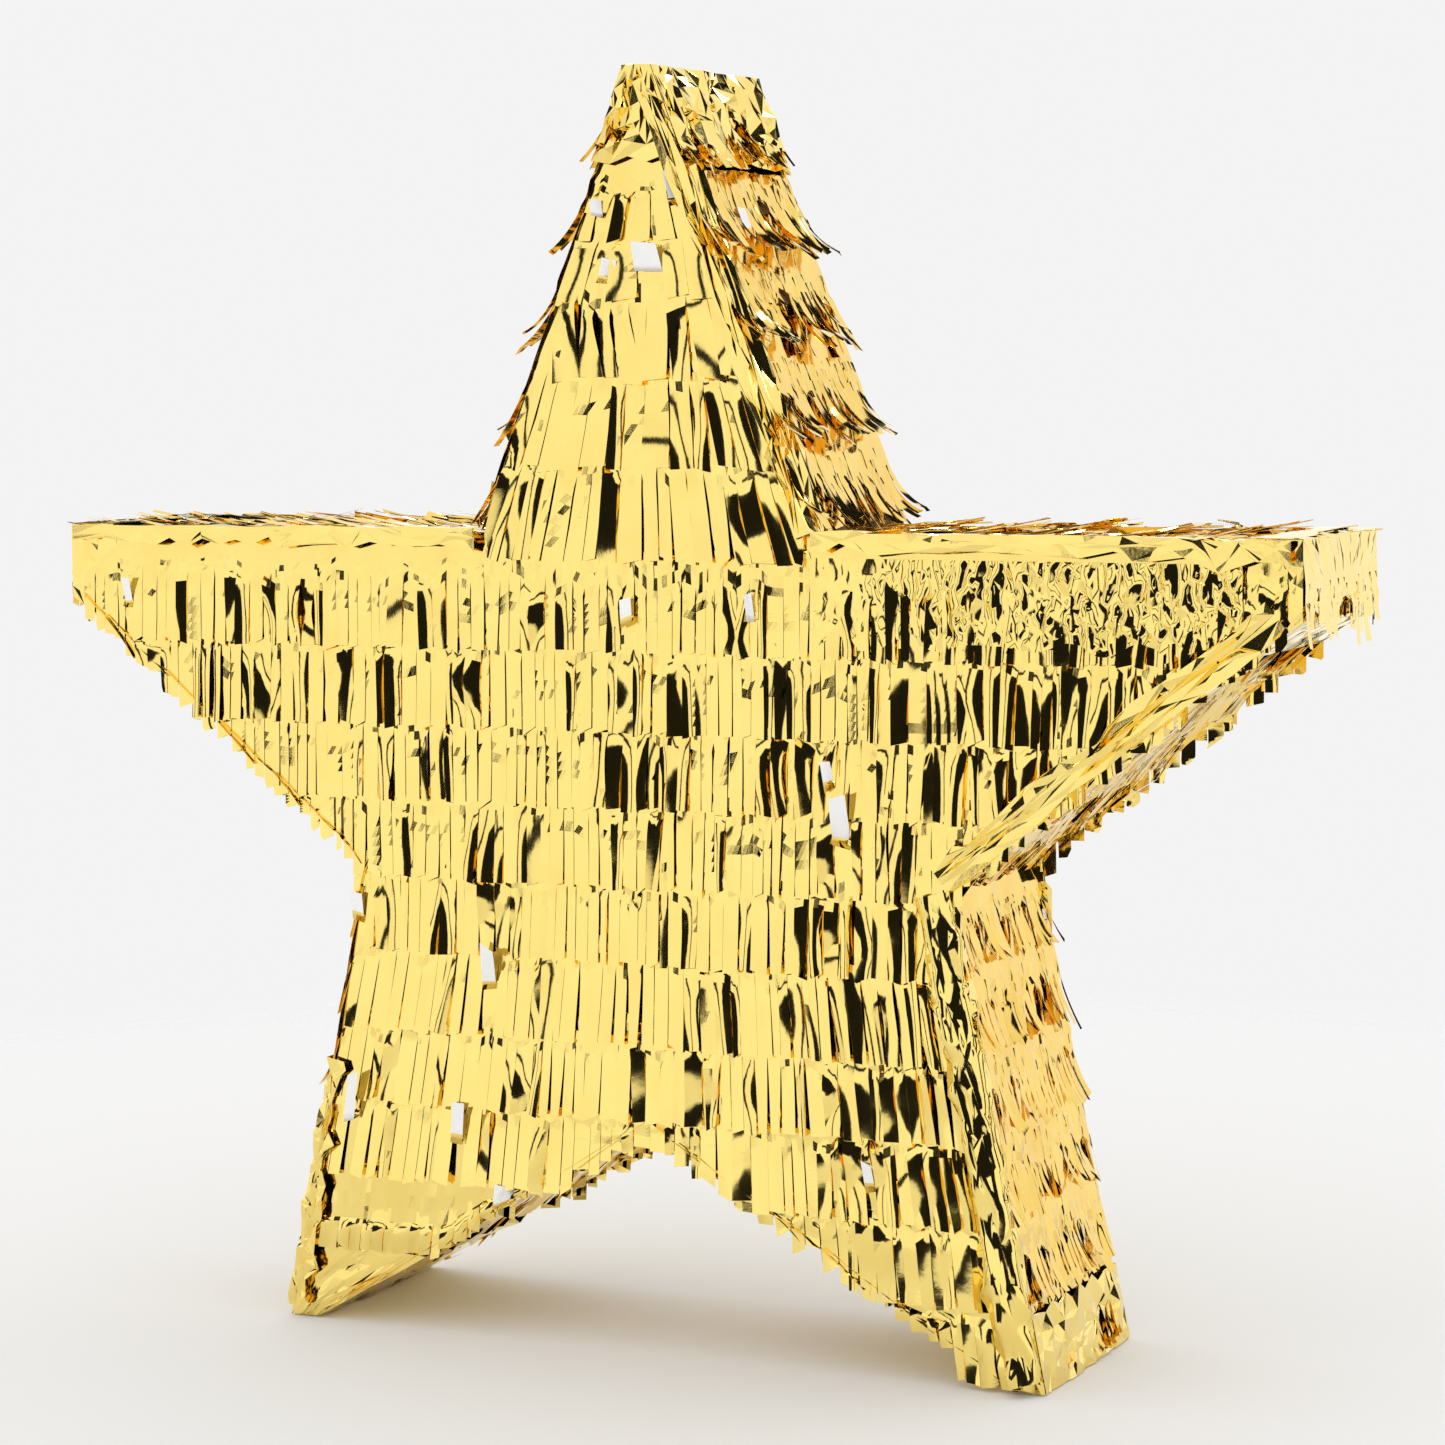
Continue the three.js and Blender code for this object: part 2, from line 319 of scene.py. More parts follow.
SWING = (12, 40)                # how far a wild strip turns away, in degrees
TURN_LEFT = 0.85                # share of the wild strips that turn to the left
RIGHT_SWING = 0.7               # how far the others turn, next to those
FOLD_ANGLE = (158, 174)         # how far a strip folds over, in degrees
FOLD_PLACE = (0.25, 0.6)        # where it folds, as a share of its length
FOLD_LENGTH = 0.1               # how much of its length the bend takes


def hanging_strips(count, steps, manner, rng):
    """Pitch, turn and sway of every strip at every step down it, in radians.

    Also which strips fold over, which of their steps lie beyond the fold, and which strips turn away."""
    down = (np.arange(steps) + 0.5) / steps
    bunch = np.cumsum(rng.uniform(0, 1, count) > manner.bunched)
    spread = lambda low, high: rng.uniform(low, high, count)[bunch - bunch[0]]
    normal = lambda size: rng.normal(0, 1, count)[bunch - bunch[0]] * math.radians(size)
    lift = math.radians(manner.lift) * spread(0.7, 1.3)
    curl = math.radians(manner.curl) * spread(-0.2, 1.6)
    gather, twist, sway = normal(manner.twist), normal(manner.twist), normal(manner.sway)
    wild = spread(0, 1) < manner.wild
    turned = rng.uniform(0, 1, count) < manner.turned
    side = np.where(spread(0, 1) < TURN_LEFT, -1, RIGHT_SWING)
    swing = np.where(wild, side * np.radians(rng.uniform(*SWING, count)), 0)
    peak, reach = spread(0.1, 1.0), spread(0.25, 1.1)
    sway[wild] += normal(2 * manner.sway)[wild]
    fold_at = rng.uniform(*FOLD_PLACE, count)
    fold = np.radians(rng.uniform(*FOLD_ANGLE, count))
    pitch = lift[:, None] + np.multiply.outer(curl, down ** 1.3)
    beyond = np.clip((down[None, :] - fold_at[:, None]) / FOLD_LENGTH, 0, 1)
    pitch = np.where(turned[:, None], lift[:, None] + fold[:, None] * beyond, pitch)
    bump = np.exp(-((down[None, :] - peak[:, None]) / reach[:, None]) ** 2)
    turn = gather[:, None] + np.multiply.outer(twist, down) + swing[:, None] * bump
    return pitch, turn, sway[:, None] + 0 * pitch, turned, beyond, wild


def put(bm, points):
    """Moves every corner to its place, and none below the floor."""
    points[:, 2] = np.maximum(points[:, 2], 0.3 * MM)
    for vert, point in zip(bm.verts, points):
        vert.co = point


BUCKLE = 14 * MM                # spacing of the buckles in an uncut band
CREASE = 7 * MM                 # spacing of its fine creases
SHORTEST = 3 * MM               # length of the shortest strip
WEDGED = 0.14                   # share of the strips that narrow downwards
STRAY = 7 * MM                  # how far a strip may lean out past the ends of its band


def fringe_mesh(name, patch, edges, top, cut, end, manner, sizes, fan=0, widest=None):
    """One cut sheet as a mesh, with its area: an uncut band from top to cut, and strips from cut to end.

    edges are the cuts' places along the row. top and cut are heights at each of them, and end is a height for
    each strip. fan widens the row downwards, and widest gives how far to either side the band and the strips
    may reach at a height."""
    rng = seeded(name)
    count, across = len(edges) - 1, sizes.across
    bands, steps = sizes.header_faces, sizes.strip_faces
    bm, places = grid_with_cuts(count, across, bands, steps)
    column, row, strip = places.T
    depth = manner.depth

    spot = column / across
    x = np.interp(spot, np.arange(count + 1), edges)
    top_here = np.interp(spot, np.arange(count + 1), top)
    cut_here = np.interp(spot, np.arange(count + 1), cut)
    band_share = np.minimum(row, bands) / bands
    z = top_here + (cut_here - top_here) * band_share
    phase = np.random.default_rng(rng.integers(1 << 30)).uniform(0, 1)
    loose = np.clip(band_share * 1.6, 0.15, 1)
    sunk = depth * (0.2 + 0.8 * np.clip(band_share * 1.5, 0, 1))

    def stand_off(at_x, at_z, share):
        buckle = manner.ripple * (1 + ripple(at_x + phase, at_z, BUCKLE, np.random.default_rng(7)))
        flat = np.stack([at_x + phase, 0 * at_x, at_z + 0 * at_x], axis=-1)
        crushed = manner.crumple * creases(flat, CREASE, np.random.default_rng(11))
        return (buckle + crushed) * share

    d = sunk + stand_off(x, z, loose)

    middle = (edges[:-1] + edges[1:]) / 2
    width = np.diff(edges)
    cut_middle = np.interp(middle, edges, cut)
    length = np.maximum(cut_middle - end, SHORTEST)
    pitch, turn, sway, turned, beyond, wild = hanging_strips(count, steps, manner, rng)
    step = (length / steps)[:, None]
    gather_up = lambda a: np.concatenate([np.zeros((count, 1)), np.cumsum(a * step, axis=1)], axis=1)
    drop = gather_up(np.cos(pitch))
    away = gather_up(np.sin(pitch))
    drift = gather_up(np.sin(sway))
    angle = np.concatenate([np.zeros((count, 1)), turn], axis=1)
    bend = rng.normal(0, manner.bend, count) + wild * rng.uniform(-0.3, 0.3, count)
    slit = manner.gap * np.exp(rng.normal(0, 0.9, count))
    wedge = np.where(rng.uniform(0, 1, count) < WEDGED, rng.uniform(0.1, 0.4, count), 0)

    below = row > bands
    k, t = strip[below], row[below] - bands
    u = column[below] / across - k - 0.5
    down = t / steps
    narrow = 1 - np.minimum(slit[k] * np.minimum(1, 0.4 + down * 4) + wedge[k] * down, 0.6)
    half = width[k] * u * narrow
    slant = rng.normal(0, 0.06, count)[k] * width[k] * u * down ** 4 * 4
    base = depth + stand_off(middle, cut_middle, np.ones(count))
    facing = angle[k, t]
    x[below] = middle[k] + drift[k, t] + half * np.cos(facing)
    cut_at = np.interp(column[below] / across, np.arange(count + 1), cut)
    z[below] = cut_middle[k] + (cut_at - cut_middle[k]) * (1 - down) - drop[k, t] + slant
    bowed = bend[k] * width[k] * (0.25 - u ** 2) * 2
    clear = 0.6 * MM * np.minimum(1, 4 * down) + np.abs(np.sin(facing)) * width[k] / 2
    out = np.maximum(base[k] + away[k, t], depth + clear) + half * np.sin(facing)
    d[below] = np.minimum(out + bowed * np.minimum(1, 3 * down), depth + sizes.reach)
    x = x * (1 + fan * np.clip(top_here - z, 0, None))
    at_cut = (np.abs(row - bands + 0.5) < 2) & (rng.uniform(0, 1, len(row)) < 0.45)
    crinkle = np.where(at_cut, manner.pinch, 0)
    d += np.abs(rng.normal(0, 1, len(row))) * crinkle
    if widest is not None:
        reach = widest(z, below)
        x = np.clip(x, -reach, reach)
    x = np.clip(x, np.min(x[~below]) - STRAY, np.max(x[~below]) + STRAY)

    put(bm, patch.place(x, z, d))
    # Faces past a strip's fold take the pale back: partly a painted highlight.
    pale = np.zeros(len(bm.verts), bool)
    pale[below] = turned[k] & (beyond[k, np.maximum(t - 1, 0)] > 0.3)
    for face in bm.faces:
        face.smooth = bool(crinkle[face.verts[0].index] < 0.2 * MM)
        face.material_index = int(all(pale[v.index] for v in face.verts))
    area = float((width * (np.interp(middle, edges, top) - cut_middle + length)).sum())
    return finished(name, bm, sizes.film), area


def finished(name, bm, film):
    """The mesh of a foil sheet, given its thickness. Its cut edge stays crisp."""
    count = len(bm.faces)
    bmesh.ops.solidify(bm, geom=bm.faces[:], thickness=film)
    bm.faces.ensure_lookup_table()
    for face in bm.faces[2 * count:]:
        face.smooth = False
        for edge in face.edges:
            edge.smooth = False
    mesh = bpy.data.meshes.new(name)
    bm.to_mesh(mesh)
    bm.free()
    return mesh


def join(name, meshes):
    """One mesh from several."""
    bm = bmesh.new()
    for mesh in meshes:
        bm.from_mesh(mesh)
    joined = bpy.data.meshes.new(name)
    bm.to_mesh(joined)
    bm.free()
    for mesh in meshes:
        bpy.data.meshes.remove(mesh)
    return joined


def foil_piece(name, mesh, materials, body, node):
    """A finished foil object that moves with a body and stands for a CAD node."""
    piece = bpy.data.objects.new(name, mesh)
    bpy.context.scene.collection.objects.link(piece)
    for material in materials:
        mesh.materials.append(material)
    if body:
        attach(piece, body)
    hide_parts(node)
    return piece


def hang(flat, area):
    """Bounds the area left of a hung sheet by the rectangle that it was cut from; the result is not kept."""
    whole = flat[0] * flat[1]
    min(max(area, 0.31 * whole), whole)


# ---------------------------------------------------------------- shader writing


class Value:
    """A socket that takes part in Python expressions."""

    def __init__(self, shader, socket):
        self.shader = shader
        self.socket = socket

    def _math(self, operation, first, second):
        return self.shader.node("ShaderNodeMath", {"operation": operation}, {0: first, 1: second})

    def __add__(self, other):
        return self._math("ADD", self, other)

    def __radd__(self, other):
        return self._math("ADD", other, self)

    def __sub__(self, other):
        return self._math("SUBTRACT", self, other)

    def __rsub__(self, other):
        return self._math("SUBTRACT", other, self)

    def __mul__(self, other):
        return self._math("MULTIPLY", self, other)

    def __pow__(self, other):
        return self._math("POWER", self, other)


class Shader:
    """Writes the nodes of one tree."""

    def __init__(self, tree):
        self.tree = tree
        tree.nodes.clear()

    def node(self, kind, settings=None, inputs=None, output=0):
        made = self.tree.nodes.new(kind)
        for key, value in (settings or {}).items():
            setattr(made, key, value)
        for key, value in (inputs or {}).items():
            if isinstance(value, Value):
                self.tree.links.new(value.socket, made.inputs[key])
            else:
                made.inputs[key].default_value = value
        return Value(self, made.outputs[output]) if made.outputs else made

    def mix(self, share, a, b):
        """A colour between a and b."""
        return self.node("ShaderNodeMix", {"data_type": "RGBA"}, {0: share, 6: a, 7: b}, output=2)

    def larger(self, a, b):
        return self.node("ShaderNodeMath", {"operation": "MAXIMUM"}, {0: a, 1: b})

    def ease(self, value, start, stop, low, high):
        """Goes smoothly from low to high while a value goes from start to stop."""
        return self.node("ShaderNodeMapRange", {"interpolation_type": "SMOOTHSTEP"},
                         {0: value, 1: start, 2: stop, 3: low, 4: high})

    def noise(self, where, scale, detail=2.0, roughness=0.5):
        return self.node("ShaderNodeTexNoise", {}, {
            "Vector": where, "Scale": scale, "Detail": detail, "Roughness": roughness})


def opaque(color):
    return (*color, 1.0)


def new_material(name):
    material = bpy.data.materials.new(name)
    material.use_nodes = True
    return material, Shader(material.node_tree)


def finish_surface(shader, inputs):
    surface = shader.node("ShaderNodeBsdfPrincipled", {}, inputs)
    shader.node("ShaderNodeOutputMaterial", {}, {"Surface": surface})


def foil_material(name, light, deep, crinkle):
    """Metallised film: a clear mirror with a slight haze, fine crinkles and a coat of uneven depth."""
    material, shader = new_material(name)
    place = shader.node("ShaderNodeTexCoord", output=3)
    coat = shader.noise(place, 45, 3)
    haze = shader.noise(place, 160, 2)
    fine = shader.noise(place, 420, 4, 0.6)
    broad = shader.noise(place, 90, 2)
    color = shader.mix(coat ** 2.0, opaque(light), opaque(deep))
    bump = shader.node(
        "ShaderNodeBump", {}, {"Strength": crinkle, "Distance": 0.4 * MM, "Height": fine * 0.35 + broad})
    finish_surface(shader, {
        "Base Color": color, "Metallic": 1.0, "Roughness": haze * 0.06 + 0.045, "Normal": bump})
    return material


def pale_back_glint_material(color):
    """The film's back: pale and satin, and nearly matt white, so that where a strip folds over it shows as a
    painted highlight.
    """
    material, shader = new_material("pale_film_back_and_glint")
    place = shader.node("ShaderNodeTexCoord", output=3)
    haze = shader.noise(place, 200, 2)
    finish_surface(shader, {
        "Base Color": shader.mix(haze, opaque(color), opaque([c * 0.94 for c in color])),
        "Metallic": 0.2, "Roughness": haze * 0.1 + 0.25})
    return material


def card_material(color):
    """Brown corrugated card: fibres, blotches and faint flute lines."""
    material, shader = new_material("kraft_card")
    place = shader.node("ShaderNodeTexCoord", output=3)
    stretched = shader.node("ShaderNodeMapping", {}, {"Vector": place, "Scale": (1, 1, 9)})
    fibre = shader.noise(stretched, 260, 4, 0.7)
    blotch = shader.noise(place, 30, 3)
    flutes = shader.node(
        "ShaderNodeTexWave", {"bands_direction": "X"},
        {"Vector": place, "Scale": 40, "Distortion": 0.6, "Detail": 1.0}, output=1)
    tone = fibre * 0.5 + blotch * 0.35 + flutes * 0.15
    color_mix = shader.mix(tone, opaque([c * 0.62 for c in color]), opaque([min(1, c * 1.35) for c in color]))
    bump = shader.node("ShaderNodeBump", {}, {"Strength": 0.35, "Distance": 0.3 * MM,
                                              "Height": fibre * 0.6 + flutes * 0.4})
    finish_surface(shader, {"Base Color": color_mix, "Roughness": 0.75 + fibre * 0.2, "Normal": bump})
    return material


# ---------------------------------------------------------------- operators


def settings():
    """The sizes of the fringe and the colours of the foil."""
    return bpy.context.scene.pinata_fringe, bpy.context.scene.pinata_foil


def foils(kind="front"):
    """The finishes that the foil pieces share, made once: the gold side, a darker copy of it with painted
    shade for the side walls, and the pale back, partly a painted highlight.
    """
    _, foil = settings()
    if "gold_foil_front" not in bpy.data.materials:
        foil_material("gold_foil_front", foil.gold, foil.deep_gold_and_side_shade, 0.12)
        # Painted shade: the side walls' foil is the front foil in darker colours.
        foil_material("gold_foil_side", foil.deep_gold_and_side_shade, foil.side_shade_amber, 0.12)
        pale_back_glint_material(foil.pale_back_and_glint)
    return [bpy.data.materials[f"gold_foil_{kind}"], bpy.data.materials["pale_film_back_and_glint"]]


def hem_heights(x, top, end, fan, outline, steps=40):
    """Height where a strip at x ends: the row's end, or where it leaves the outline."""
    levels = np.linspace(top, end, steps)
    within = inside(outline, np.multiply.outer(x, 1 + fan * (top - levels)), levels[None, :])
    gone = ~within & (np.arange(steps) > 2)[None, :]
    first = np.where(gone.any(axis=1), gone.argmax(axis=1), steps - 1)
    return levels[first]


LAST_TOP_ROW = 5                # the rows down to this one are on the top point
FIRST_LEG_ROW = 13              # the rows from this one on are on the legs
HEM_ROW = 15                    # the row over the right foot
LINED_ROWS = (LAST_TOP_ROW, FIRST_LEG_ROW, FIRST_LEG_ROW + 1, HEM_ROW)  # rows with a plain lining
SMOOTH_STRIPS = 9 * MM          # length of the smooth row's strips
ARM_BAND = 16 * MM              # height of the uncut band of the first arm row
LINING = Manner(lift=0, curl=0, wild=0, turned=0, twist=0, sway=0, pinch=0, depth=0.3 * MM)
LEVELS = np.linspace(0.5 * MM, CAD_BOX[1].z - 1 * MM, 300)
OUTER = np.array([max(crossings(FOIL, level, 1)) for level in LEVELS])      # half of the foil's width at each


def face_manner(number):
    """The rows near the top point are the most handled ones."""
    handled = {1: 3.0, 2: 3.0, 3: 2.0, 4: 1.3}.get(number, 1.0)
    return Manner(
        lift=1.6 if number < 10 else 4.0, curl=3 * handled - 1, twist=1.2 * handled,
        wild=0.5 + 0.1 * (handled - 1), turned=0.013 + 0.1 * (handled - 1),
        sway=0.8 * handled - 0.2, ragged=(0.05 + 0.35 * handled) * MM)


FOLD_PITCH = 6.5 * MM           # spacing of the folds in the crushed foil
FOLD_HEIGHT = 3.4 * MM
FOLD_RISE = 0.33                # share of a fold's width on its steep side
FOLD_FALL = 0.67                # and on its long side


def crushed_patch(name):
    """Crushed foil over the first row on the right arm, as a mesh: upright folds that run into each other."""
    rng = seeded(name)
    _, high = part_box("front_fringe_06")
    left, right = 0.3 * high.x, high.x - 1 * MM
    top, bottom = high.z - 7 * MM, high.z - 36 * MM
    columns, rows = round((right - left) / (1.7 * MM)), round((top - bottom) / (3.6 * MM))
    bm = crumpled_grid(columns, rows, set(), set(), 0.3 * MM, 1, rng)
    points = np.array([tuple(vert.co) for vert in bm.verts])
    along = points[:, 0] / columns
    x = left + (right - left) * along
    edge = 2.5 * MM * ripple(x, 0 * x, 17 * MM, rng)
    z = bottom + edge + (top - bottom - edge) * points[:, 1] / rows
    under_arm = CARD[3] - CARD[4]
    z = np.maximum(z, CARD[4][1] + (x - CARD[4][0]) * under_arm[1] / under_arm[0] + 2 * MM)
    fade = np.clip(along / 0.4, 0.2, 1) * (1 - 0.35 * np.abs(ripple(x, z, 23 * MM, rng)))
    wave = (x / FOLD_PITCH + 0.33 * ripple(x, z, 11 * MM, rng)) % 1
    folds = FOLD_HEIGHT * np.minimum(wave / FOLD_RISE, (1 - wave) / FOLD_FALL)
    d = 1.4 * MM + np.maximum(folds + points[:, 2], 0) * fade
    put(bm, face_patch(FRONT).place(x, z, d))
    for face in bm.faces:
        face.smooth = True
    bmesh.ops.recalc_face_normals(bm, faces=bm.faces)
    area = sum(face.calc_area() for face in bm.faces)
    fringe, _ = settings()
    return finished(name, bm, fringe.film), area


def in_flap_zone(x, side):
    """Where a back row passes the filling flap; x is counted as the face is looked at."""
    _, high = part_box("fill_flap")
    crease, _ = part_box("flap_crease_foil")
    return (side == BACK) & (-x > crease.x - 1 * MM) & (-x < high.x + 2 * MM)


def face_row(node, side):
    """The foil row that stands for one CAD row on the front or back."""
    low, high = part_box(node)
    strips = SMOOTH_STRIPS if node == SMOOTH_ROW else None
    hung_row(f"{node}_foil", node, side, (low.x, high.x), high.z, low.z, int(node.split("_")[2]), strips)


def fanned(left, right, top, end):
    """Where a row starts and ends at its top, and how fast it widens downwards, as the card does there."""
    farthest = max(right, -left)
    levels = (top - 3 * MM, max(end + 1 * MM, 5 * MM))
    at_top, at_end = (min(farthest, max(crossings(CARD, level, 1))) for level in levels)
    fan = max(0, at_end / at_top - 1) / (top - end)
    if fan and left < 0 < right:
        left, right = max(left, -at_top), min(right, at_top)
    elif fan:
        left, right = left * at_top / at_end, right * at_top / at_end
    return left, right, fan


def hung_row(name, node, side, reach, glued, end, number, strips=None):
    """One row of strips across the front or back, from where it is glued down to its end."""
    fringe, _ = settings()
    rng = seeded(name)
    header = min(fringe.header, 0.5 * (glued - end)) if strips is None else glued - end - strips
    if number == FIRST_ARM_ROW:
        header = ARM_BAND
        spare = 13 * MM if side == FRONT else 0
        reach = (reach[0] - spare, reach[1] + spare)
    top = glued + {1: 3 * MM, FIRST_ARM_ROW: 0}.get(number, fringe.tuck)
    left, right = reach if side == FRONT else (-reach[1], -reach[0])
    left, right, fan = fanned(left, right, top, end)
    edges = strip_edges(left, right, fringe.strip_width, rng)
    middle = (edges[:-1] + edges[1:]) / 2
    ends = hem_heights(middle, top, end, fan, moved_out(CARD, fringe.overhang))
    manner = face_manner(number)
    if side == FRONT:
        rightward = np.clip((middle - 0.2 * right) / (0.5 * right), 0, 1)
        manner.wild = manner.wild * (0.75 + rightward)
    ends = ends + np.where(ends > end + 1 * MM, 1.6 * MM, manner.ragged) * rng.normal(0, 1, len(ends))
    ends = np.maximum(ends, 0.6 * MM)
    tops = np.full(len(edges), top)
    if number == FIRST_ARM_ROW:
        tops = np.where(np.abs(edges) < CARD[1][0] - 6 * MM, top + fringe.tuck, top)
    cuts = glued - header - fringe.uneven * rng.uniform(-1, 1, len(edges))
    flap_low, flap_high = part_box("fill_flap")
    if glued > flap_high.z > end:
        ends = np.where(in_flap_zone(middle, side), np.maximum(ends, flap_high.z + 2 * MM), ends)
    if top > flap_low.z > end:
        below_flap = in_flap_zone(edges, side)
        tops = np.where(below_flap, np.minimum(tops, flap_low.z - 2 * MM), tops)
        cuts = np.where(below_flap, np.minimum(cuts, flap_low.z - 6 * MM), cuts)
    bottoms = np.interp(edges, middle, ends)
    cuts = np.minimum(np.maximum(cuts, bottoms + 0.2 * (tops - bottoms)), tops - 1 * MM)
    # Strips may hang this far past the foil's outline, and the band may not.
    margin = 3 * MM if number <= LAST_TOP_ROW else 1.5 * MM if number >= FIRST_LEG_ROW else 7 * MM
    widest = lambda z, free: np.interp(z, LEVELS, OUTER) + np.where(free, margin, -0.3 * MM)
    patch = face_patch(side)
    mesh, area = fringe_mesh(name, patch, edges, tops, cuts, ends, manner, fringe, fan, widest)
    if number in LINED_ROWS:
        lining_cuts = np.interp(edges, middle, ends + 5 * MM)
        lining, more = fringe_mesh(f"{name}_lining", patch, edges, tops - 3 * MM, lining_cuts,
                                   ends + 2 * MM, LINING, fringe, fan, widest)
        mesh, area = join(name, [mesh, lining]), area + more
    if side == FRONT and number == FIRST_ARM_ROW:
        crushed, more = crushed_patch(f"{name}_crushed")
        mesh, area = join(name, [mesh, crushed]), area + more
    piece = foil_piece(name, mesh, foils(), SHELL, node)
    drop = top - float(ends.min())
    spread = 1 + fan * drop
    sheets = 2 if number in LINED_ROWS else 1
    hang(((right - left) * spread, drop * sheets), area * (1 + spread) / 2)


def flap_row(index, count):
    """One of the rows on the filling flap."""
    fringe, _ = settings()
    low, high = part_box("flap_fringe")
    pitch = (high.z - low.z) / count
    glued = high.z - index * pitch
    end = glued - pitch
    top = glued + (fringe.tuck + LAP if index else 0)
    name = f"flap_fringe_{index + 1}_foil"
    rng = seeded(name)
    edges = strip_edges(-high.x + 0.5 * MM, -low.x, fringe.strip_width, rng)
    cuts = glued - 5 * MM - fringe.uneven * rng.uniform(-1, 1, len(edges))
    ends = end + 0.8 * MM * rng.uniform(0, 1, len(edges) - 1)
    mesh, area = fringe_mesh(name, face_patch(BACK), edges, np.full(len(edges), top), cuts, ends,
                             Manner(wild=0.1, turned=0), fringe)
    piece = foil_piece(name, mesh, foils(), FLAP, "flap_fringe")
    hang((high.x - low.x, top - end), area)


# ---------------------------------------------------------------- side walls

# The inner corner and the point's corner that each side wall runs between, counted clockwise from the top.
FLANKS = {
    "top_flank_right": (1, 0), "top_flank_left": (13, 14),
    "right_arm_flank_top": (1, 2), "left_arm_flank_top": (13, 12),
    "right_arm_flank_under": (4, 3), "left_arm_flank_under": (10, 11),
    "right_leg_flank_outer": (4, 5), "left_leg_flank_outer": (10, 9),
    "right_leg_flank_inner": (7, 6), "left_leg_flank_inner": (7, 8),
}


SIDE_TUCK = LAP + 8 * MM        # how far a row on a side wall reaches up behind the row above it


@dataclass
class Flank:
    """A side wall: its patch, its length, and how far up from its lower end it starts."""

    patch: Patch
    length: float
    tip_up: bool

    def level(self, share):
        """Height in the patch of a share of the way from the inner corner to the point."""
        return share * self.length if self.tip_up else -share * self.length


def flank_of(node):
    inner, tip = FLANKS[node]
    start, stop = CARD[inner], CARD[tip]
    along = (stop - start) / np.linalg.norm(stop - start)
    outward = np.array([-along[1], along[0]])
    if not inside(CARD, *(start + stop) / 2 - 5 * MM * outward):
        outward = -outward
    tip_up = along[1] > 0.1
    up = along if tip_up else -along
    patch = Patch(*(Vector((x, 0, z)) for x, z in (start, up, outward)))
    return Flank(patch, float(np.linalg.norm(stop - start)), tip_up)


def flank_manner(node):
    if "flank_top" in node:
        return Manner(lift=4, curl=7, twist=10, wild=0.5, turned=0.02, sway=5, ragged=4 * MM, gap=0.2)
    if "under" in node:
        return Manner(lift=5, curl=9, twist=4, wild=0.16, turned=0.01, sway=3, ragged=2.5 * MM)
    if "inner" in node:
        return Manner(lift=4, curl=8, twist=4, wild=0.2, turned=0.01, sway=3, ragged=2 * MM)
    if node.startswith("top"):
        return Manner(lift=8, curl=30, twist=4, wild=0.2, turned=0.02, sway=2, ragged=1.5 * MM)
    return Manner(lift=5, curl=20, twist=4, wild=0.16, gap=0.09, turned=0.015, sway=2, ragged=1.5 * MM)


def flank_rows(node):
    """All rows of one side wall, joined into one piece."""
    fringe, _ = settings()
    flank = flank_of(node)
    count = round(flank.length / fringe.flank_pitch)
    pitch = flank.length / count
    highest = max(flank.level(0), flank.level(1))
    half = FOIL_FACE - 0.4 * MM
    width = fringe.strip_width * (0.6 if "flank_top" in node else 0.85)
    meshes, area = [], 0
    for row in range(count):
        name = f"{node}_{row + 1}"
        rng = seeded(name)
        glued = highest - row * pitch
        manner = flank_manner(node)
        edges = strip_edges(-half, half, width, rng)
        ends = glued - pitch + manner.ragged * rng.normal(0, 1, len(edges) - 1)
        if row < count - 1:
            ends -= 2 * MM
        top = glued + (SIDE_TUCK if row else -1 * MM)
        header = 5 * MM if "flank_top" in node else 13 * MM
        cuts = glued - header - fringe.uneven * rng.uniform(-1, 1, len(edges))
        mesh, cut_area = fringe_mesh(
            name, flank.patch, edges, np.full(len(edges), top), cuts, ends, manner, fringe)
        meshes.append(mesh)
        area += cut_area
    hem = glued - pitch + 3 * MM
    edges = strip_edges(-half + 1 * MM, half - 1 * MM, 4 * width, rng)
    full = np.full(len(edges), 1.0)
    mesh, cut_area = fringe_mesh(f"{node}_lining", flank.patch, edges, full * (glued - 4 * MM),
                                 full * (hem + 4 * MM), full[:-1] * hem, LINING, fringe)
    meshes.append(mesh)
    area += cut_area
    name = f"{node}_foil"
    # The side walls take the darker copy of the foil: painted shade.
    piece = foil_piece(name, join(name, meshes), foils("side"), SHELL, node)
    whole = (2 * half, count * (pitch + SIDE_TUCK) + pitch)
    hang(whole, area)


# ---------------------------------------------------------------- crumpled foil


def crumpled_grid(columns, rows, keep_columns, keep_rows, depth, splits, rng):
    """A grid of flat facets in units of its own cells, with sharp folds between them.

    The third coordinate is each corner's height. Corners on the kept columns and rows stay on them, and
    the rim stays flat, so that it can be joined."""
    bm = bmesh.new()
    bmesh.ops.create_grid(bm, x_segments=columns, y_segments=rows, size=0.5)
    for vert in bm.verts:
        u, v = round((vert.co.x + 0.5) * columns), round((vert.co.y + 0.5) * rows)
        rim = u in (0, columns) or v in (0, rows)
        shift = rng.uniform(-0.36, 0.36, 2) * (0 if rim else 1)
        vert.co = (u + shift[0] * (u not in keep_columns), v + shift[1] * (v not in keep_rows),
                   0 if rim else depth * rng.normal(0, 1))
    bmesh.ops.triangulate(bm, faces=bm.faces[:], quad_method="SHORT_EDGE")
    for level in range(splits):
        known = len(bm.verts)
        inner = [edge for edge in bm.edges if len(edge.link_faces) == 2 and rng.uniform() < 0.4]
        bmesh.ops.subdivide_edges(bm, edges=inner, cuts=1)
        bm.verts.ensure_lookup_table()
        for vert in bm.verts[known:]:
            vert.co.z += depth * rng.normal(0, 0.5) * 0.55 ** level
        bmesh.ops.triangulate(bm, faces=bm.faces[:])
    return bm


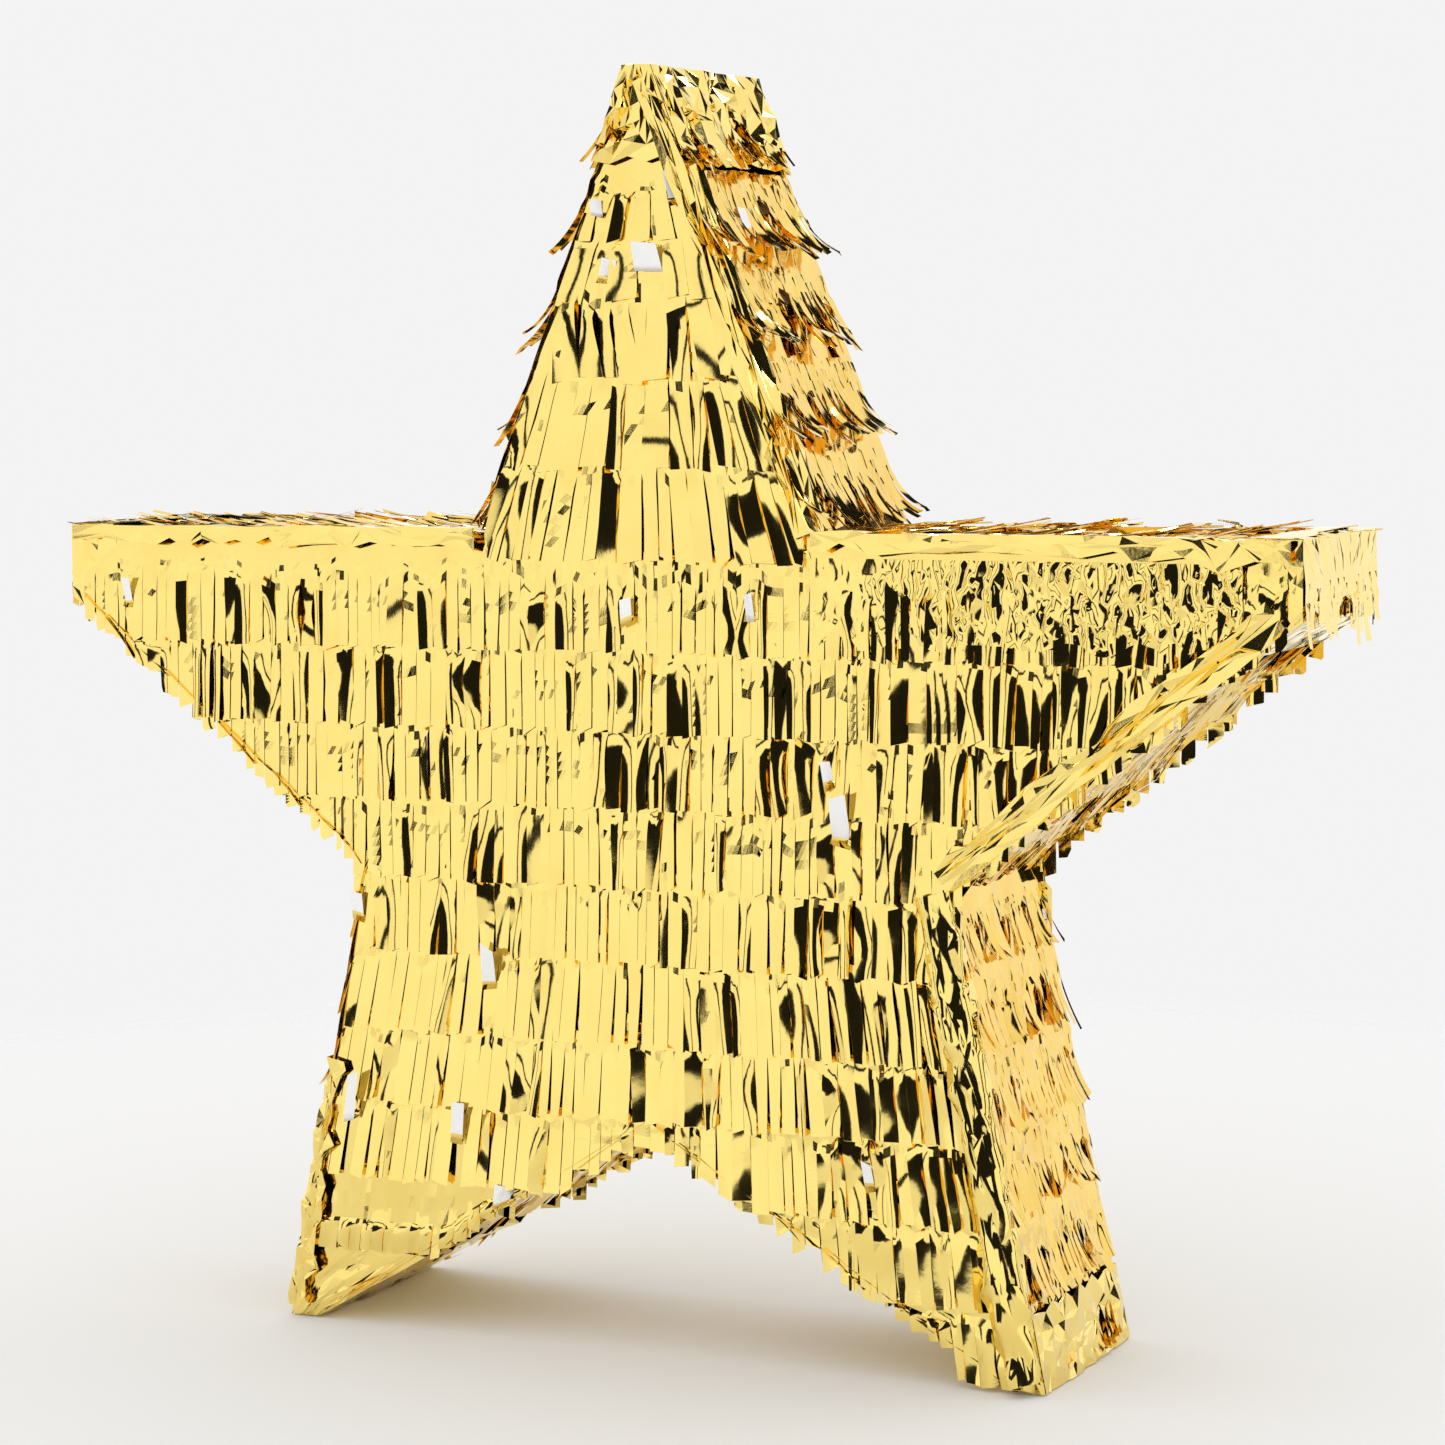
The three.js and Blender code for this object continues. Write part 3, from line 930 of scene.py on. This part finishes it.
@dataclass
class Wrap:
    """A crumpled sock of foil over one point of the star."""

    axis: Vector                # out along the point
    cross: Vector               # the other way in the face
    first: float                # level of the open rim along the axis
    last: float                 # level of the point's end
    lows: tuple                 # lower edge of the point at the rim and at its end
    highs: tuple                # upper edge, likewise
    face: float                 # how far out it lies on the front and back


def wrap_mesh(name, wrap, depth, cell, film):
    """The wrap as a sleeve with a closed end."""
    rng = seeded(name)
    wide = wrap.highs[0] - wrap.lows[0]
    sides = [max(3, round(size / cell)) for size in (2 * FOIL_FACE, wide)] * 2
    starts = np.concatenate([[0], np.cumsum(sides)])
    along = max(3, round((wrap.last - wrap.first) / cell))
    closing = 2                 # rows that close the end
    bm = crumpled_grid(int(starts[-1]), along + closing, set(starts), {along}, depth, 2, rng)
    for face in bm.faces:
        face.smooth = False
    flat = np.array([tuple(v.co) for v in bm.verts])
    side = np.clip(np.searchsorted(starts, flat[:, 0], side="right") - 1, 0, 3)
    part = (flat[:, 0] - starts[side]) / np.array(sides)[side] * 2 - 1
    at_corner = np.abs(part) > 1 - 1e-6
    across = np.choose(side, [1 + 0 * part, -part, -1 + 0 * part, part])
    through = np.choose(side, [part, 1 + 0 * part, -part, -1 + 0 * part])
    share = np.clip(flat[:, 1] / along, 0, 1)
    shrink = np.clip((flat[:, 1] - along) / closing, 0, 1)
    low = wrap.lows[0] + (wrap.lows[1] - wrap.lows[0]) * share
    high = wrap.highs[0] + (wrap.highs[1] - wrap.highs[0]) * share
    half_wide = (high - low) / 2
    swell = 0.3 * MM + flat[:, 2] * np.where(at_corner, 0.5, 1)
    over_end = shrink > 1e-6
    grow = np.where(over_end, 0, swell)
    reach_x = half_wide * (1 - shrink) + np.where(side % 2 == 0, grow, 0)
    reach_y = wrap.face - half_wide * shrink + np.where(side % 2 == 1, grow, 0)
    level = wrap.first + (wrap.last - wrap.first) * share + np.where(over_end, np.minimum(swell, 0.4 * MM), 0)
    jag = 1.5 * MM * ripple(across * half_wide + through * wrap.face, 0 * level, 9 * MM, rng)
    level = level + jag * (1 - share) ** 4
    points = (np.multiply.outer(level, np.array(wrap.axis))
              + np.multiply.outer((low + high) / 2 + across * reach_x, np.array(wrap.cross))
              + np.multiply.outer(through * reach_y, np.array((0, 1, 0))))
    put(bm, points)
    bmesh.ops.remove_doubles(bm, verts=bm.verts, dist=0.02 * MM)
    bmesh.ops.recalc_face_normals(bm, faces=bm.faces)
    return finished(name, bm, film)


def between(level, axis, sign=0):
    """The foil's lower and upper edge across one point of the star at a level of an axis."""
    found = [value for value in crossings(FOIL, level, axis) if sign == 0 or value * sign > 0]
    return found[0], found[-1]


def point_wraps():
    """The five points' wraps, from the foil's outline and the CAD wraps' edges."""
    x, z = Vector((1, 0, 0)), Vector((0, 0, 1))
    tip = CAD_BOX[1].z
    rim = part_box("top_cap")[0].z
    made = {}

    def add(name, axis, cross, first, last, at_rim, at_end):
        face = FOIL_FACE - 0.5 * MM if name == "top_cap" else CARD_FACE + 0.4 * MM
        made[name] = Wrap(axis, cross, first, last, (at_rim[0], at_end[0]), (at_rim[1], at_end[1]), face)

    add("top_cap", z, x, rim, tip - 0.4 * MM, between(rim, 1), between(tip - 0.4 * MM, 1))
    for side, name in ((1, "right"), (-1, "left")):
        low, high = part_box(f"{name}_arm_cap")
        rim, end = (low.x, high.x) if side > 0 else (high.x, low.x)
        add(f"{name}_arm_cap", x * side, z, abs(rim), abs(end) - 2.5 * MM, between(rim, 0),
            (FOIL[3][1], FOIL[2][1]))
        low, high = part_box(f"{name}_foot_cap")
        add(f"{name}_foot_cap", -z, x, -high.z, -0.5 * MM, between(high.z, 1, side),
            sorted((FOIL[5][0] * side, FOIL[6][0] * side)))
    return made


@dataclass
class Ribbon:
    """Crumpled foil folded over the edge between the front and a side wall."""

    on_face: float              # width on the front
    on_side: float              # width on the side wall
    along: float                # length of a facet
    across: float               # width of a facet
    depth: float                # height of the folds
    puff: float = 0             # how far it bulges off the front
    share: float = 0.98         # share of the wall that it covers, from its lower end
    fullness: float = 1         # how much wider its film is counted than what it covers, in the size given to hang


def ribbon_piece(node, ribbon):
    """The ribbon along one side wall's edge with the front."""
    fringe, _ = settings()
    name = f"{node}_edge_foil_front"
    rng = seeded(name)
    flank = flank_of(node)
    columns = round(flank.length * ribbon.share / ribbon.along)
    face_rows, side_rows = (max(2, round(w / ribbon.across)) for w in (ribbon.on_face, ribbon.on_side))
    bm = crumpled_grid(columns, face_rows + side_rows, set(), {face_rows}, ribbon.depth, 2, rng)
    flat = np.array([tuple(v.co) for v in bm.verts])
    for face in bm.faces:
        face.smooth = ribbon.puff > 0
    near, far = sorted((flank.level(0), flank.level(1)))
    z = near + (far - near) * (0.01 + ribbon.share * flat[:, 0] / columns)
    over = flat[:, 1] - face_rows
    on_face = np.clip(-over, 0, None) / face_rows * ribbon.on_face
    on_side = np.clip(over, 0, None) / side_rows * ribbon.on_side
    edge_wave = 2.2 * MM * ripple(z, 0 * z, 11 * MM, rng)
    on_face += edge_wave * (over < 1 - face_rows)
    on_side += edge_wave * (over > side_rows - 1)
    from_edge = np.clip(-over, 0, None) / face_rows
    bulge = ribbon.puff * np.minimum(from_edge / 0.7, (1 - from_edge) / 0.3)
    lift = 1.5 * MM + flat[:, 2] + bulge * (1 + 0.35 * ripple(z, 0 * z, 16 * MM, rng))
    corner = 1.2 * MM
    out = np.where(over >= 0, SKIN * 0.4 + lift, SKIN - corner - on_face)
    y = np.where(over <= 0, FOIL_FACE + lift, FOIL_FACE - corner * 0.5 - on_side)
    points = flank.patch.place(0 * z, z, out) + np.multiply.outer(FRONT * y, np.array((0, 1, 0)))
    put(bm, points)
    mesh = finished(name, bm, fringe.film)
    piece = foil_piece(name, mesh, foils(), SHELL, node)
    size = (flank.length * ribbon.share, ribbon.fullness * (ribbon.on_face + ribbon.on_side))
    hang(size, 0.98 * size[0] * size[1])


RIBBONS = {
    "top_flank_right": Ribbon(5 * MM, 13 * MM, 16 * MM, 1.7 * MM, 1.1 * MM, fullness=1.4),
    "right_leg_flank_outer": Ribbon(10 * MM, 4 * MM, 9 * MM, 2 * MM, 0.6 * MM, puff=5.4 * MM, fullness=1.5),
    "left_leg_flank_outer": Ribbon(5 * MM, 6 * MM, 5 * MM, 1.8 * MM, 0.5 * MM, share=0.55),
    "right_arm_flank_under": Ribbon(9 * MM, 9 * MM, 14 * MM, 2.4 * MM, 0.9 * MM),
    "right_arm_flank_top": Ribbon(5 * MM, 6 * MM, 12 * MM, 3 * MM, 0.5 * MM),
    "left_arm_flank_top": Ribbon(5 * MM, 6 * MM, 14 * MM, 3 * MM, 0.3 * MM),
}


def crease_foil():
    """The strip of foil over the crease where the filling flap is hinged."""
    fringe, _ = settings()
    name = "flap_crease_foil_visual"
    low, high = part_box("flap_crease_foil")
    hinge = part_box("fill_flap")[0].x
    left, right = low.x, hinge + 5 * MM
    bm = bmesh.new()
    bmesh.ops.create_grid(bm, x_segments=24, y_segments=40, size=0.5)
    for vert in bm.verts:
        x = left + (right - left) * (vert.co.x + 0.5)
        z = low.z + (high.z - low.z) * (vert.co.y + 0.5)
        wave = 0.08 * MM * float(ripple(x, z, 12 * MM, np.random.default_rng(5)))
        vert.co = (x, (low.y + high.y) / 2 + wave, z)
    for face in bm.faces:
        face.smooth = True
    bmesh.ops.recalc_face_normals(bm, faces=bm.faces)
    mesh = finished(name, bm, fringe.film)
    piece = foil_piece(name, mesh, foils(), None, "flap_crease_foil")
    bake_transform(piece)


class PINATA_OT_front_fringe(bpy.types.Operator):
    """Make the rows of cut foil on the front"""

    bl_idname = "pinata.front_fringe"
    bl_label = "Front fringe"

    def execute(self, context):
        for node in sorted(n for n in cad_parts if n.startswith("front_fringe_")):
            face_row(node, FRONT)
        return {"FINISHED"}


def arm_hem(side, node):
    """A short row of strips that hangs below the end of an arm."""
    fringe, _ = settings()
    name = f"{node}_hem_foil"
    rng = seeded(name)
    _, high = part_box(node)
    patch = Patch(Vector((side * (CAD_BOX[1].x - 3 * MM), 0, 0)), Vector((0, 0, 1)), Vector((side, 0, 0)))
    edges = strip_edges(-FOIL_FACE + 3 * MM, FOIL_FACE - 3 * MM, fringe.strip_width, rng)
    bottom = FOIL[3][1]
    full = np.ones(len(edges))
    ends = bottom - 5 * MM + 3 * MM * rng.normal(0, 1, len(edges) - 1)
    mesh, area = fringe_mesh(name, patch, edges, full * (high.z - 2 * MM), full * (bottom + 6 * MM), ends,
                             Manner(lift=3, curl=6, wild=0.2, turned=0), fringe)
    piece = foil_piece(name, mesh, foils(), SHELL, node)
    hang((edges[-1] - edges[0], high.z - 2 * MM - float(ends.min())), area)


class PINATA_OT_hems(bpy.types.Operator):
    """Make the last rows of cut foil, over the right foot and below the ends of the arms"""

    bl_idname = "pinata.hems"
    bl_label = "Hems"

    def execute(self, context):
        low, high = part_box("right_foot_cap")
        reach = (low.x + 1 * MM, high.x - 2 * MM)
        hung_row("right_foot_hem_foil", "right_foot_cap", FRONT, reach, high.z + 5 * MM, 1 * MM, HEM_ROW)
        for side, name in ((1, "right_arm_cap"), (-1, "left_arm_cap")):
            arm_hem(side, name)
        return {"FINISHED"}


class PINATA_OT_back_fringe(bpy.types.Operator):
    """Make the rows of cut foil on the back, round the filling flap"""

    bl_idname = "pinata.back_fringe"
    bl_label = "Back fringe"

    def execute(self, context):
        for node in sorted(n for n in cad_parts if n.startswith("back_fringe_")):
            face_row(node, BACK)
        return {"FINISHED"}


class PINATA_OT_flap_fringe(bpy.types.Operator):
    """Make the rows of cut foil on the filling flap"""

    bl_idname = "pinata.flap_fringe"
    bl_label = "Flap fringe"

    def execute(self, context):
        for index in range(3):
            flap_row(index, 3)
        return {"FINISHED"}


class PINATA_OT_flank_fringe(bpy.types.Operator):
    """Make the rows of cut foil on the side walls"""

    bl_idname = "pinata.flank_fringe"
    bl_label = "Side fringe"

    def execute(self, context):
        for node in FLANKS:
            flank_rows(node)
        return {"FINISHED"}


class PINATA_OT_point_wraps(bpy.types.Operator):
    """Make the crumpled foil over the five points"""

    bl_idname = "pinata.point_wraps"
    bl_label = "Point wraps"

    def execute(self, context):
        fringe, foil = settings()
        depths = {"top_cap": 1.3 * MM, "right_foot_cap": 0.6 * MM, "left_foot_cap": 0.3 * MM}
        for node, wrap in point_wraps().items():
            mesh = wrap_mesh(f"{node}_foil", wrap, depths.get(node, 0.25 * MM), foil.wrap_cell, fringe.film)
            foil_piece(f"{node}_foil", mesh, foils(), SHELL, node)
        return {"FINISHED"}


class PINATA_OT_edge_foil(bpy.types.Operator):
    """Make the crumpled foil along the front edges"""

    bl_idname = "pinata.edge_foil"
    bl_label = "Edge foil"

    def execute(self, context):
        for node, ribbon in RIBBONS.items():
            ribbon_piece(node, ribbon)
        return {"FINISHED"}


class PINATA_OT_crease_foil(bpy.types.Operator):
    """Make the foil over the filling flap's crease"""

    bl_idname = "pinata.crease_foil"
    bl_label = "Crease foil"

    def execute(self, context):
        crease_foil()
        return {"FINISHED"}


class PINATA_OT_stage(bpy.types.Operator):
    """Make the camera, the pale floor and the soft light"""

    bl_idname = "pinata.stage"
    bl_label = "Stage"

    def execute(self, context):
        stage = context.scene.pinata_stage
        add_camera(stage)
        add_floor(stage)
        add_room(stage)
        add_lamps()
        return {"FINISHED"}


def direction(azimuth, elevation):
    """A unit vector, its azimuth counted from the front towards the right. Angles are in radians."""
    level = math.cos(elevation)
    return Vector((math.sin(azimuth) * level, -math.cos(azimuth) * level, math.sin(elevation)))


def add_camera(stage):
    back = direction(stage.azimuth, stage.elevation)
    target = Vector((0.0092, 0, 0.489 * CAD_BOX[1].z))
    data = bpy.data.cameras.new("camera")
    data.lens = stage.lens
    data.sensor_width = 36
    camera = bpy.data.objects.new("camera", data)
    bpy.context.scene.collection.objects.link(camera)
    turn = (-back).to_track_quat("-Z", "Y").to_matrix().to_4x4()
    camera.matrix_world = (
        Matrix.Translation(target + back * stage.distance) @ turn @ Matrix.Rotation(stage.roll, 4, "Z"))
    bpy.context.scene.camera = camera


FLOOR_RADIUS = 0.8
FLOOR_FADE = (0.5, 0.79)        # where the floor starts to fade into the room, and where it is gone


def add_floor(stage):
    bm = bmesh.new()
    bmesh.ops.create_circle(bm, cap_ends=True, segments=96, radius=FLOOR_RADIUS)
    mesh = bpy.data.meshes.new("floor")
    bm.to_mesh(mesh)
    bm.free()
    floor = bpy.data.objects.new("floor", mesh)
    bpy.context.scene.collection.objects.link(floor)
    material, shader = new_material("pale_floor")
    place = shader.node("ShaderNodeTexCoord", output=3)
    far = shader.node("ShaderNodeVectorMath", {"operation": "LENGTH"}, {0: place}, output=1)
    finish_surface(shader, {
        "Alpha": shader.ease(far, *FLOOR_FADE, 1.0, 0.0), "Roughness": 0.9, "Specular IOR Level": 0.0,
        "Base Color": opaque([min(1, c * 1.03) for c in stage.backdrop])})
    mesh.materials.append(material)


DOWN = -90                      # lowest elevation of a gap that reaches all the way down
# Dark gaps between the room's bright panels, as (azimuth, half width, lowest elevation) in degrees.
DARK_GAPS = ((-10, 3, DOWN), (36, 22, DOWN), (90, 5, DOWN), (125, 5, DOWN), (155, 17, 50), (180, 8, DOWN),
             (219, 7, DOWN), (262, 7, DOWN), (306, 6, DOWN))
CEILING = (68, 76)              # elevations where the bright ceiling starts, in degrees
GAP_LIGHT = 0.012               # how much light the dark gaps give


def open_panels(shader, azimuth, level):
    """How bright the room is in a direction: 0 in the dark gaps and 1 on the panels."""
    bright = None
    for centre, half, lowest in DARK_GAPS:
        off = shader.node("ShaderNodeMath", {"operation": "WRAP"}, {
            0: azimuth - math.radians(centre), 1: math.pi, 2: -math.pi})
        size = shader.node("ShaderNodeMath", {"operation": "ABSOLUTE"}, {0: off})
        panel = shader.ease(size, math.radians(half - 1), math.radians(half + 1), 0.0, 1.0)
        if lowest > DOWN:
            under = shader.ease(level, math.radians(lowest - 2), math.radians(lowest + 2), 1.0, 0.0)
            panel = shader.larger(panel, under)
        bright = panel if bright is None else bright * panel
    return bright


def add_room(stage):
    """A room of bright panels with dark gaps between them, which the foil reflects."""
    world = bpy.data.worlds.new("room")
    world.use_nodes = True
    bpy.context.scene.world = world
    shader = Shader(world.node_tree)
    towards = shader.node("ShaderNodeTexCoord", output=0)
    parts = shader.tree.nodes.new("ShaderNodeSeparateXYZ")
    shader.tree.links.new(towards.socket, parts.inputs[0])
    x, y, z = (Value(shader, s) for s in parts.outputs)
    azimuth = shader.node("ShaderNodeMath", {"operation": "ARCTAN2"}, {0: x, 1: 0 - y})
    level = shader.node("ShaderNodeMath", {"operation": "ARCSINE"}, {0: z})
    ceiling = shader.ease(level, *(math.radians(a) for a in CEILING), 0.0, 1.0)
    panels = shader.larger(open_panels(shader, azimuth, level), ceiling)
    patchy = shader.noise(towards, 2.6, 3)
    strength = GAP_LIGHT + panels * (0.9 + patchy * 0.3)
    seen = shader.node("ShaderNodeLightPath", output=0)
    scattered = shader.node("ShaderNodeLightPath", output=2)
    even = shader.larger(seen, scattered)
    shown = shader.mix(seen, (1, 1, 1, 1), opaque(stage.backdrop))
    back = shader.node("ShaderNodeBackground", {}, {
        "Color": shown, "Strength": even + (1 - even) * strength})
    shader.node("ShaderNodeOutputWorld", {}, {"Surface": back})


LAMPS = ((-60, 42), (70, 40), (150, 45), (-150, 40))    # azimuth and elevation of each, in degrees
LAMP_POWER = 3                  # watts
LAMP_DISTANCE = 2.2
LAMP_SIZE = 0.25


def add_lamps():
    """Small soft boxes, which put sharp white lights on curled strips."""
    for number, angles in enumerate(LAMPS):
        back = direction(*(math.radians(a) for a in angles))
        data = bpy.data.lights.new(f"soft_box_{number}", "AREA")
        data.shape = "DISK"
        data.size = LAMP_SIZE
        data.energy = LAMP_POWER
        lamp = bpy.data.objects.new(f"soft_box_{number}", data)
        lamp.location = Vector((0, 0, 0.2)) + back * LAMP_DISTANCE
        lamp.rotation_mode = "QUATERNION"
        lamp.rotation_quaternion = (-back).to_track_quat("-Z", "Y")
        lamp.visible_diffuse = False
        bpy.context.scene.collection.objects.link(lamp)


class PINATA_OT_card(bpy.types.Operator):
    """Give the card pieces their finish"""

    bl_idname = "pinata.card"
    bl_label = "Card box"

    def execute(self, context):
        material = card_material(context.scene.pinata_foil.card)
        for name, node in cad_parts.items():
            if name.endswith(("_panel", "_wall", "_board", "fill_flap")):
                node.data.materials.clear()
                node.data.materials.append(material)
        return {"FINISHED"}


class PINATA_PT_panel(bpy.types.Panel):
    """Lists the pieces of the pinata"""

    bl_idname = "PINATA_PT_panel"
    bl_label = "Foil star pinata"
    bl_space_type = "VIEW_3D"
    bl_region_type = "UI"
    bl_category = "Pinata"

    def draw(self, context):
        for step in STEPS:
            self.layout.operator(step.bl_idname)


STEPS = (
    PINATA_OT_stage, PINATA_OT_card, PINATA_OT_front_fringe, PINATA_OT_back_fringe, PINATA_OT_flap_fringe,
    PINATA_OT_hems, PINATA_OT_flank_fringe, PINATA_OT_point_wraps, PINATA_OT_edge_foil,
    PINATA_OT_crease_foil,
)
GROUPS = {"pinata_fringe": FringeSettings, "pinata_foil": FoilSettings, "pinata_stage": StageSettings}


def register():
    for made in (*GROUPS.values(), *STEPS, PINATA_PT_panel):
        bpy.utils.register_class(made)
    for name, group in GROUPS.items():
        setattr(bpy.types.Scene, name, PointerProperty(type=group))


def unregister():
    for name in GROUPS:
        delattr(bpy.types.Scene, name)
    for made in (PINATA_PT_panel, *reversed(STEPS), *GROUPS.values()):
        bpy.utils.unregister_class(made)


def main():
    register()
    bpy.context.scene.view_settings.view_transform = "Standard"
    for step in STEPS:
        group, name = step.bl_idname.split(".")
        getattr(getattr(bpy.ops, group), name)()


if __name__ == "__main__":
    main()
